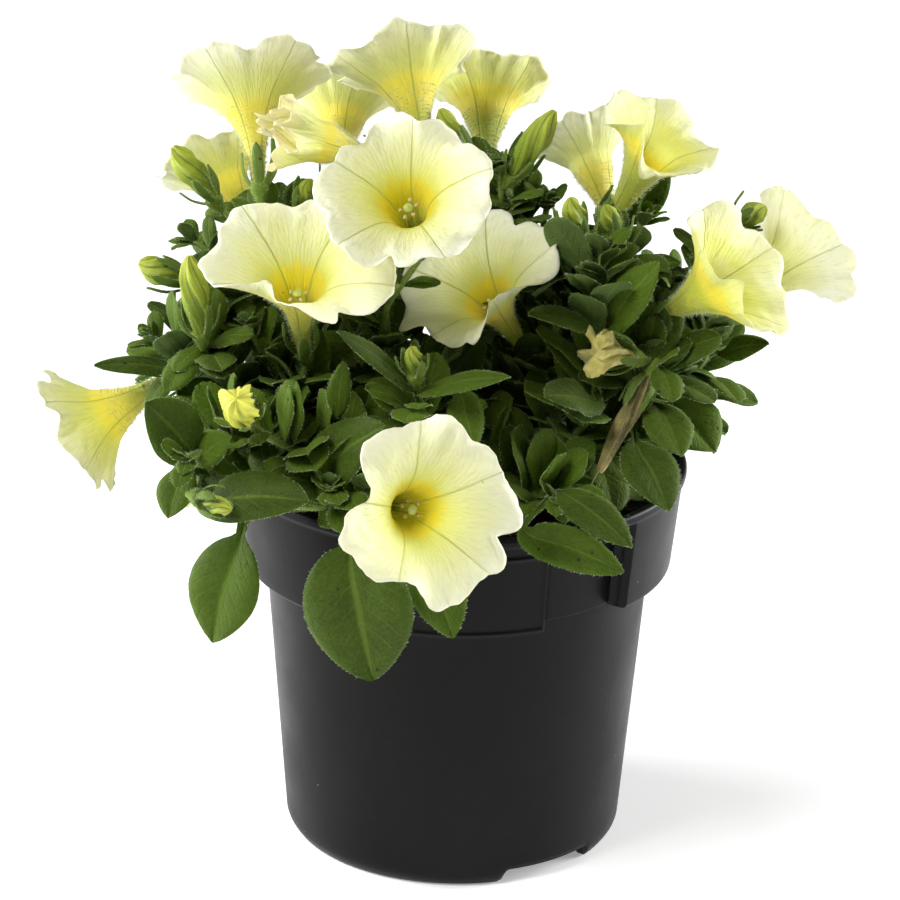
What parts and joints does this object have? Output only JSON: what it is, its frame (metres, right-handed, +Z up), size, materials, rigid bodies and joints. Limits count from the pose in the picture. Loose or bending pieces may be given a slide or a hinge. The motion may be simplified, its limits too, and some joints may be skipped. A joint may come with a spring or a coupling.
{
  "type": "potted petunia",
  "caption": "Trailing petunia plant with pale yellow trumpet blooms, buds and hairy green leaves, standing in a plain black nursery pot filled with soil",
  "frame": {"origin": "centre of the pot's foot, on the surface that the pot stands on", "axes": "+Z is up, -Y is the side that the picture shows, +X is to the right of someone who looks along +Y"},
  "size_m": [0.2493, 0.1947, 0.2576],
  "materials": {
    "pot_plastic": "satin moulded black plastic",
    "potting_soil": "loose dark potting soil",
    "leaf_green": "soft green leaf with fine hairs",
    "petal_cream": "thin cream to pale yellow petal with greenish veins",
    "bud_yellow": "rolled yellow-green bud",
    "dried_petal": "dry tan petal"
  },
  "bodies": {
    "root": {"pot": "pot_plastic", "soil": "potting_soil", "stem_front": "leaf_green", "stem_front_left": "leaf_green", "stem_left_low": "leaf_green", "stem_left": "leaf_green", "stem_yellow_bud": "leaf_green", "stem_centre": "leaf_green", "stem_left_bloom": "leaf_green", "stem_crown": "leaf_green", "stem_middle": "leaf_green", "stem_right_centre": "leaf_green", "stem_right_bloom": "leaf_green", "stem_far_right": "leaf_green", "stem_right_low": "leaf_green", "stem_right_top_bloom": "leaf_green", "stem_back_right": "leaf_green", "stem_back": "leaf_green", "stem_back_left": "leaf_green", "stem_behind": "leaf_green", "stem_behind_left": "leaf_green", "stem_behind_right": "leaf_green", "bloom_front": "petal_cream", "bloom_crown": "petal_cream", "bloom_left": "petal_cream", "bloom_middle": "petal_cream", "bloom_right_top": "petal_cream", "bloom_right": "petal_cream", "bloom_far_right": "petal_cream", "bloom_top_left": "petal_cream", "bloom_wilting": "petal_cream", "bloom_behind": "petal_cream", "bloom_top": "petal_cream", "bloom_top_right": "petal_cream", "bloom_back_left": "petal_cream", "bloom_right_back": "petal_cream", "bloom_far_left": "petal_cream", "bloom_hanging": "petal_cream", "bud_yellow": "bud_yellow", "bud_green_tip": "bud_yellow", "bud_left": "bud_yellow", "bud_far_left": "bud_yellow", "bud_back_left": "bud_yellow", "bud_upper_left": "bud_yellow", "bud_top": "bud_yellow", "bud_top_green": "bud_yellow", "bud_right_centre": "bud_yellow", "bud_far_right": "bud_yellow", "bud_right_back": "bud_yellow", "bud_centre": "bud_yellow", "bloom_dried": "dried_petal", "bloom_spent": "dried_petal"}
  },
  "joints": []
}
